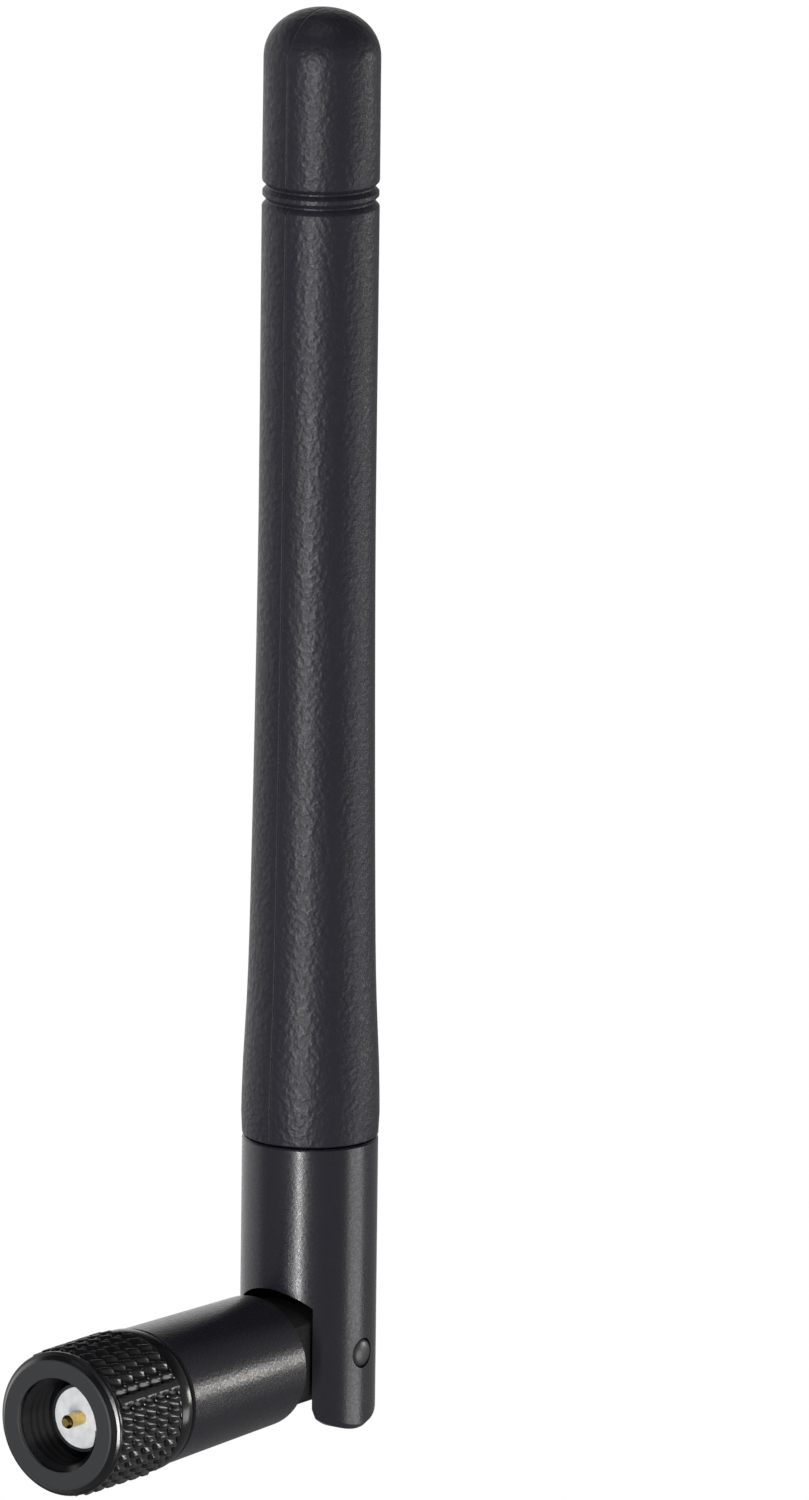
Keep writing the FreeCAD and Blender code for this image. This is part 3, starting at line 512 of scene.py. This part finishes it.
def make_cover():
    profile = list(COVER_SIDE)
    lip = GROOVE_HALF - GROOVE_LIP_WIDTH
    for height in GROOVES:
        profile += [(height - lip, GROOVE_LIP - GROOVE_LIP_DROP),
                    (height - GROOVE_FLOOR_HALF, GROOVE_FLOOR),
                    (height + GROOVE_FLOOR_HALF, GROOVE_FLOOR),
                    (height + lip, GROOVE_LIP - GROOVE_LIP_DROP)]
    profile += COVER_HEAD
    profile += arc(DOME_FOOT, 0, DOME_RISE, DOME_RADIUS, 0, DOME_END, DOME_STEPS, DOME_FULLNESS)
    outside = in_metres(HINGE.z, profile)
    start, radius = outside[0]
    inside = [(start, COVER_BORE), (start + COVER_DEPTH, COVER_BORE),
              (start + COVER_DEPTH, COVER_BORE_END)]
    centre = Vector((HINGE.x, HINGE.y, start))
    piece = start_ring("cover", COVER_STEPS, centre, 2, radius)
    draw_profile(centre, 2, outside)
    bpy.ops.mesh.edge_face_add()
    bpy.ops.object.mode_set(mode="OBJECT")
    foot = [corner.index for corner in piece.data.vertices
            if abs(corner.co.z - start) < SAME_POINT]
    select_corners(piece, foot)
    draw_profile(centre, 2, [(start, radius)] + inside)
    bpy.ops.mesh.edge_face_add()
    return finish_piece(piece, COVER_SMOOTH)


# Nut: collars, a knurl of slanted lozenges with one plain rib, and the thread. Its sizes are in mm
KNURL_ROUND = 37
KNURL_ROWS = 5
KNURL_PITCH = 1.3
KNURL_START = -1.7
KNURL_CREST = 5.010
KNURL_FLOOR = 4.75
# A lozenge's height as a share of its crest's: by column round the nut, and by mm along it
COLUMN_RISE = (0.0, 0.24, 0.76, 1.0, 0.76, 0.24)
ROW_RISE = {0.03: 0.0, 0.11: 0.72, 0.20: 1.0, 1.08: 1.0, 1.18: 0.72, 1.26: 0.0}
SLANT = math.radians(-3.9)
PLAIN_RIB = math.radians(25.14)
PLAIN_RIB_HALF = 2.6
ON_CREST = 0.001
COLLAR = 4.86
NUT_FACE = -2.6
NUT_BACK = 6.1
NUT_SMOOTH = 48
THREAD_ROOT = 3.175
THREAD_CREST = 2.82
THREAD_SUNK = 0.02
THREAD_SIDES = 4
THREAD_PITCH = 0.7056
THREAD_WIDTH = 0.9 * THREAD_PITCH
THREAD_START = 0.42
THREAD_TURNS = 6
THREAD_STEPS = 64
THREAD_SMOOTH = 25
BORE_END = 3.2
NECK_BORE = 2.78
FRONT_COLLAR = [(0.04, THREAD_ROOT), (0, THREAD_ROOT + 0.04), (0, THREAD_ROOT + 0.08), (0, 4.26),
                (0, 4.30), (0.015, 4.335), (0.045, 4.37), (0.36, 4.635), (0.37, 4.645),
                (0.375, 4.655), (0.455, 4.81), (0.46, 4.82), (0.48, 4.845), (0.52, COLLAR)]
STEP_TO_KNURL = [(-0.05, COLLAR), (-0.02, COLLAR - 0.03), (0, KNURL_FLOOR)]
STEP_FROM_KNURL = [(0, KNURL_FLOOR), (0.03, COLLAR - 0.03), (0.08, COLLAR)]
BACK_COLLAR = [(-0.23, COLLAR), (-0.19, COLLAR - 0.005), (-0.15, 4.845), (-0.01, 4.71),
               (0, 4.69), (0, 4.65), (0, 2.9), (-0.1, NECK_BORE)]
MOUTH = [(0.08, THREAD_ROOT), (0.04, THREAD_ROOT)]


def make_nut():
    knurl_end = KNURL_START + KNURL_ROWS * KNURL_PITCH
    profile = shifted(NUT_FACE, FRONT_COLLAR) + shifted(KNURL_START, STEP_TO_KNURL)
    profile += [(KNURL_START + row * KNURL_PITCH + along, KNURL_CREST)
                for row in range(KNURL_ROWS) for along in ROW_RISE]
    profile += shifted(knurl_end, STEP_FROM_KNURL) + shifted(NUT_BACK, BACK_COLLAR)
    profile += [(BORE_END, NECK_BORE), (BORE_END, THREAD_ROOT)] + shifted(NUT_FACE, MOUTH)
    profile = in_metres(PLUG.y, profile)
    start, radius = profile[0]
    centre = Vector((PLUG.x, start, PLUG.z))
    piece = start_ring("knurled_nut", KNURL_ROUND * len(COLUMN_RISE), centre, 1, radius)
    draw_profile(centre, 1, profile)
    bpy.ops.mesh.select_all(action="SELECT")
    bpy.ops.mesh.remove_doubles(threshold=SAME_POINT)
    press_knurl(piece)
    return finish_piece(piece, NUT_SMOOTH)


def press_knurl(piece):
    """Press the grooves between the lozenges, then turn each ring of points to slant them."""
    bpy.ops.object.mode_set(mode="OBJECT")
    column_angle = 2 * math.pi / KNURL_ROUND / len(COLUMN_RISE)
    rises = {}
    turns = {}
    for corner in piece.data.vertices:
        along = (corner.co.y - PLUG.y) / MM - KNURL_START
        if math.hypot(corner.co.x, corner.co.z) < (KNURL_CREST - ON_CREST) * MM:
            continue
        in_row = min(ROW_RISE, key=lambda place: abs(place - along % KNURL_PITCH))
        column = math.floor(math.atan2(corner.co.z, corner.co.x) / column_angle)
        rise = COLUMN_RISE[column % len(COLUMN_RISE)] * ROW_RISE[in_row]
        from_rib = (column + 0.5) * column_angle - PLAIN_RIB
        if abs(from_rib) < PLAIN_RIB_HALF * column_angle:
            rise = 1.0
        else:
            turns.setdefault(in_row, []).append(corner.index)
        rises.setdefault(rise, []).append(corner.index)
    for rise, chosen in rises.items():
        select_corners(piece, chosen)
        factor = (KNURL_FLOOR + (KNURL_CREST - KNURL_FLOOR) * rise) / KNURL_CREST
        bpy.ops.transform.resize(value=(factor, 1, factor), center_override=PLUG)
        bpy.ops.object.mode_set(mode="OBJECT")
    for in_row, chosen in turns.items():
        select_corners(piece, chosen)
        bpy.ops.transform.rotate(value=(in_row / KNURL_PITCH - 0.5) * SLANT, orient_axis="Y",
                                 center_override=PLUG)
        bpy.ops.object.mode_set(mode="OBJECT")
    bpy.ops.object.mode_set(mode="EDIT")


def make_thread():
    """A ridge wound round the nut's bore, its outer half sunk in the wall."""
    wall = THREAD_ROOT + THREAD_SUNK
    height = wall - THREAD_CREST
    start = Vector((PLUG.x + wall * MM, PLUG.y + (NUT_FACE + THREAD_START) * MM, PLUG.z))
    piece = start_ring("nut_thread", THREAD_SIDES, start, 2, height * MM)
    bpy.ops.transform.resize(value=(1, THREAD_WIDTH / 2 / height, 1), center_override=start)
    bpy.ops.object.mode_set(mode="OBJECT")
    wound = piece.modifiers.new("wound", "SCREW")
    wound.axis = "Y"
    wound.screw_offset = THREAD_PITCH * MM
    wound.iterations = THREAD_TURNS
    wound.steps = THREAD_STEPS
    wound.render_steps = THREAD_STEPS
    bpy.ops.object.modifier_apply(modifier=wound.name)
    bpy.ops.object.mode_set(mode="EDIT")
    bpy.ops.mesh.select_all(action="DESELECT")
    bpy.ops.mesh.select_non_manifold()
    bpy.ops.mesh.fill()
    return finish_piece(piece, THREAD_SMOOTH)


# Hinge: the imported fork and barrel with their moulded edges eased, and two domed pins
FORK_EDGE = 0.12 * MM
FORK_ROUND = (0, 4.55 * MM)
BARREL_EDGE = 0.15 * MM
BARREL_ROUND = (-19.3 * MM, 4.72 * MM)
BARREL_SLOPE = -0.26 / 13.1
ON_ROUND = 0.01 * MM
PACKED_POINT = 1e-6
FLAT_ANGLE = math.radians(1.0)
EDGE_ANGLE = math.radians(28)
EDGE_STEPS = 3
SHADED_ANGLE = math.radians(40)
PIN_STEPS = 40
PIN_SMOOTH = 40
PIN_RADIUS = 0.97
PIN_INNER = 1.35
PIN_CHAMFER = 0.15
PIN_HEAD = 4.41
PIN_CROWN = 4.60
PIN_SHANK = [(PIN_INNER, 0.05), (PIN_INNER, PIN_RADIUS - PIN_CHAMFER),
             (PIN_INNER + PIN_CHAMFER, PIN_RADIUS), (PIN_HEAD - 0.08, PIN_RADIUS),
             (PIN_HEAD - 0.05, PIN_RADIUS), (PIN_HEAD, PIN_RADIUS - 0.02)]
PIN_DOME_RADIUS = PIN_RADIUS - 0.06
PIN_DOME_START = 12
PIN_DOME_END = 86
PIN_DOME_STEPS = 7


def eased_copy(node, name, width, axis, start, slope):
    """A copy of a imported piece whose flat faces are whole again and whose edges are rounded.

    Its round outside runs along axis from start, a (place, radius), and widens by slope.
    """
    mesh = frame["nodes"][node].data.copy()
    mesh.name = name
    piece = bpy.data.objects.new(name, mesh)
    bpy.context.scene.collection.objects.link(piece)
    bpy.ops.object.select_all(action="DESELECT")
    piece.select_set(True)
    bpy.context.view_layer.objects.active = piece
    bpy.ops.object.mode_set(mode="EDIT")
    bpy.ops.mesh.select_all(action="SELECT")
    bpy.ops.mesh.remove_doubles(threshold=PACKED_POINT)
    bpy.ops.mesh.dissolve_limited(angle_limit=FLAT_ANGLE)
    bpy.ops.object.mode_set(mode="OBJECT")
    eased = piece.modifiers.new("eased", "BEVEL")
    eased.width = width
    eased.segments = EDGE_STEPS
    eased.limit_method = "ANGLE"
    eased.angle_limit = EDGE_ANGLE
    bpy.ops.object.modifier_apply(modifier=eased.name)
    bpy.ops.object.shade_smooth_by_angle(angle=SHADED_ANGLE)
    weighted = piece.modifiers.new("weighted", "WEIGHTED_NORMAL")
    weighted.keep_sharp = True
    bpy.ops.object.modifier_apply(modifier=weighted.name)
    shade_round(piece, axis, start, slope)
    return piece


def shade_round(piece, axis, start, slope):
    """Shade the facets of the round outside as the true cylinder or slim cone."""
    mesh = piece.data
    spot, radius = start
    directions = [corner.vector.copy() for corner in mesh.corner_normals]
    for face in mesh.polygons:
        outward = []
        for index in face.vertices:
            away = mesh.vertices[index].co - HINGE
            along = away[axis]
            away[axis] = 0
            if abs(away.length - radius - (along - spot) * slope) < ON_ROUND:
                away.normalize()
                away[axis] = -slope
                outward.append(away.normalized())
        if len(outward) == len(face.vertices):
            for loop, direction in zip(face.loop_indices, outward):
                directions[loop] = direction
    mesh.normals_split_custom_set(directions)


def make_pins():
    """One pin with a domed head, and its copy turned round for the other ear."""
    dome = arc(PIN_HEAD, 0, PIN_CROWN - PIN_HEAD, PIN_DOME_RADIUS, PIN_DOME_START, PIN_DOME_END,
               PIN_DOME_STEPS)
    profile = in_metres(HINGE.x, PIN_SHANK + dome)
    start, radius = profile[0]
    centre = Vector((start, HINGE.y, HINGE.z))
    pin = start_ring("hinge_pin_right", PIN_STEPS, centre, 0, radius)
    bpy.ops.mesh.edge_face_add()
    draw_profile(centre, 0, profile)
    finish_piece(pin, PIN_SMOOTH)
    bpy.ops.object.duplicate(linked=False)
    twin = bpy.context.object
    twin.name = "hinge_pin_left"
    twin.data.name = "hinge_pin_left"
    bpy.ops.object.mode_set(mode="EDIT")
    bpy.ops.mesh.select_all(action="SELECT")
    bpy.ops.transform.rotate(value=math.pi, orient_axis="Z", center_override=HINGE)
    bpy.ops.object.mode_set(mode="OBJECT")
    return [pin, twin]


# Put it together: the studio, a finish for each node, then the pieces that stand for nodes
ALONG_PLUG = (tuple(PLUG), 1)
ALONG_WHIP = (tuple(HINGE), 2)
ALONG_PINS = (tuple(HINGE), 0)
# The cover's mould line carries its painted highlight between the two heights on the next line
LINE_HIGHLIGHT_HEIGHTS = (79.6 * MM, 87.6 * MM)
# The barrel tongue's half thickness and start; its flats get painted shade
TONGUE = (2.78 * MM, -6.15 * MM)
CABLE_BLACK = (0.02, 0.02, 0.02)
CABLE_WHITE = (0.86, 0.86, 0.84)
TINNED = (0.76, 0.72, 0.68)
SILVERED = (0.80, 0.76, 0.70)
BRAID_RADIUS = 0.68 * MM
BRAID_STRANDS = 16
BRAID_PITCH = 3.2 * MM


def cable_finishes(place, centre, axis):
    """The finishes of a cable's jacket, braid, insulation and conductor, in that order."""
    jacket = extruded("jacket_" + place, CABLE_BLACK, centre, axis, rough=0.4,
                      spacing=0.15 * MM, depth=0.003 * MM)
    braid = braided("braid_" + place, TINNED, centre, axis, BRAID_RADIUS, BRAID_STRANDS,
                    BRAID_PITCH)
    insulation = extruded("white_" + place, CABLE_WHITE, centre, axis, rough=0.35,
                          spacing=0.1 * MM, depth=0.002 * MM)
    wire = plated("wire_" + place, SILVERED, centre, axis, rough=0.25, line=0.05 * MM,
                  depth=0.001 * MM)
    return jacket, braid, insulation, wire


def dress(node, material):
    """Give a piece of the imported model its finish."""
    mesh = frame["nodes"][node].data
    mesh.materials.clear()
    mesh.materials.append(material)


def put_on(pieces, node, body, material):
    """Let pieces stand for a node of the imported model, on its body and in its finish."""
    for piece in pieces:
        piece.data.materials.clear()
        piece.data.materials.append(material)
        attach(piece, body)
        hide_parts(node)


place_camera()
build_studio()
bpy.context.scene.view_settings.view_transform = "Standard"

cover_black = moulded("cover_black", (0.0140, 0.0132, 0.0208), tuple(HINGE), rough=0.45,
                      grain=0.40 * MM, depth=0.085 * MM, gloss=0.35, parting=LINE_HIGHLIGHT_HEIGHTS)
fork_black = moulded("fork_black", (0.0122, 0.0114, 0.0174), tuple(HINGE), rough=0.29,
                     grain=0.22 * MM, depth=0.009 * MM)
barrel_black = moulded("barrel_black", (0.0100, 0.0092, 0.0146), tuple(HINGE), rough=0.30,
                       grain=0.24 * MM, depth=0.018 * MM, joint=TONGUE)
pin_black = plated("pin_black", (0.02, 0.02, 0.022), *ALONG_PINS, rough=0.35, line=0.05 * MM,
                   depth=0.002 * MM, metallic=0.0, gloss=0.7)
nut_black = plated("nut_black", (0.0065, 0.0063, 0.0080), *ALONG_PLUG, rough=0.19,
                   line=0.05 * MM, depth=0.001 * MM, metallic=0.0, gloss=0.6, marks=0.08,
                   painted_face_end=-2.56 * MM)
body_black = plated("body_black", (0.03, 0.03, 0.032), *ALONG_PLUG, rough=0.32,
                    line=0.06 * MM, depth=0.002 * MM, metallic=0.0, gloss=0.7)
insulator_white = extruded("insulator_white", (0.86, 0.88, 0.89), *ALONG_PLUG, rough=0.4,
                           spacing=0.2 * MM, depth=0.003 * MM, scatter=0.1)
contact_gold = plated("contact_gold", (0.83, 0.62, 0.20), *ALONG_PLUG, rough=0.25,
                      line=0.04 * MM, depth=0.001 * MM)
spring_bronze = plated("spring_bronze", (0.62, 0.44, 0.24), *ALONG_PLUG, rough=0.35,
                       line=0.05 * MM, depth=0.002 * MM)
bush_brass = plated("bush_brass", (0.72, 0.57, 0.30), *ALONG_PLUG, rough=0.32,
                    line=0.06 * MM, depth=0.002 * MM)
ferrule_brass = plated("ferrule_brass", (0.70, 0.66, 0.58), *ALONG_PLUG, rough=0.30,
                       line=0.06 * MM, depth=0.002 * MM)
radiator_brass = plated("radiator_brass", (0.74, 0.58, 0.30), *ALONG_WHIP, rough=0.30,
                        line=0.08 * MM, depth=0.002 * MM)
solder_grey = plated("solder_grey", (0.62, 0.62, 0.62), *ALONG_WHIP, rough=0.28,
                     line=0.3 * MM, depth=0.01 * MM)
seal_rubber = moulded("seal_rubber", (0.03, 0.03, 0.03), tuple(PLUG), rough=0.7,
                      grain=0.15 * MM, depth=0.006 * MM, gloss=0.3)
shrink_black = extruded("shrink_black", CABLE_BLACK, *ALONG_WHIP, rough=0.5,
                        spacing=0.5 * MM, depth=0.01 * MM)
spacer_white = moulded("spacer_white", (0.70, 0.70, 0.68), tuple(HINGE), rough=0.5,
                       grain=0.2 * MM, depth=0.005 * MM)
jacket_lower, braid_lower, white_lower, wire_lower = cable_finishes("lower", *ALONG_PLUG)
jacket_upper, braid_upper, white_upper, wire_upper = cable_finishes("upper", *ALONG_WHIP)

FINISHES = {
    "radome": cover_black,
    "fork_housing": fork_black,
    "hinge_barrel": barrel_black,
    "hinge_pins": pin_black,
    "coupling_nut": nut_black,
    "plug_body": body_black,
    "plug_insulator": insulator_white,
    "centre_contact": contact_gold,
    "nut_retaining_ring": spring_bronze,
    "sealing_gasket": seal_rubber,
    "crimp_ferrule": ferrule_brass,
    "swivel_bush": bush_brass,
    "swivel_friction_washer": seal_rubber,
    "coax_lower_jacket": jacket_lower,
    "coax_lower_braid": braid_lower,
    "coax_lower_insulation": white_lower,
    "coax_lower_conductor": wire_lower,
    "coax_hinge_loop": jacket_upper,
    "coax_upper_jacket": jacket_upper,
    "coax_upper_braid": braid_upper,
    "coax_upper_insulation": white_upper,
    "coax_upper_conductor": wire_upper,
    "sleeve_radiator": radiator_brass,
    "solder_ring": solder_grey,
    "upper_radiator": radiator_brass,
    "heat_shrink": shrink_black,
    "sleeve_spacer": spacer_white,
    "tip_spacer": spacer_white,
}
for node, material in FINISHES.items():
    dress(node, material)

cover = make_cover()
nut = make_nut()
thread = make_thread()
fork = eased_copy("fork_housing", "fork", FORK_EDGE, 2, FORK_ROUND, 0)
barrel = eased_copy("hinge_barrel", "barrel", BARREL_EDGE, 1, BARREL_ROUND, BARREL_SLOPE)
pins = make_pins()
put_on([cover], "radome", "whip", cover_black)
put_on([nut, thread], "coupling_nut", "coupling_nut", nut_black)
put_on([fork], "fork_housing", "whip", fork_black)
put_on([barrel], "hinge_barrel", "swivel", barrel_black)
put_on(pins, "hinge_pins", "whip", pin_black)
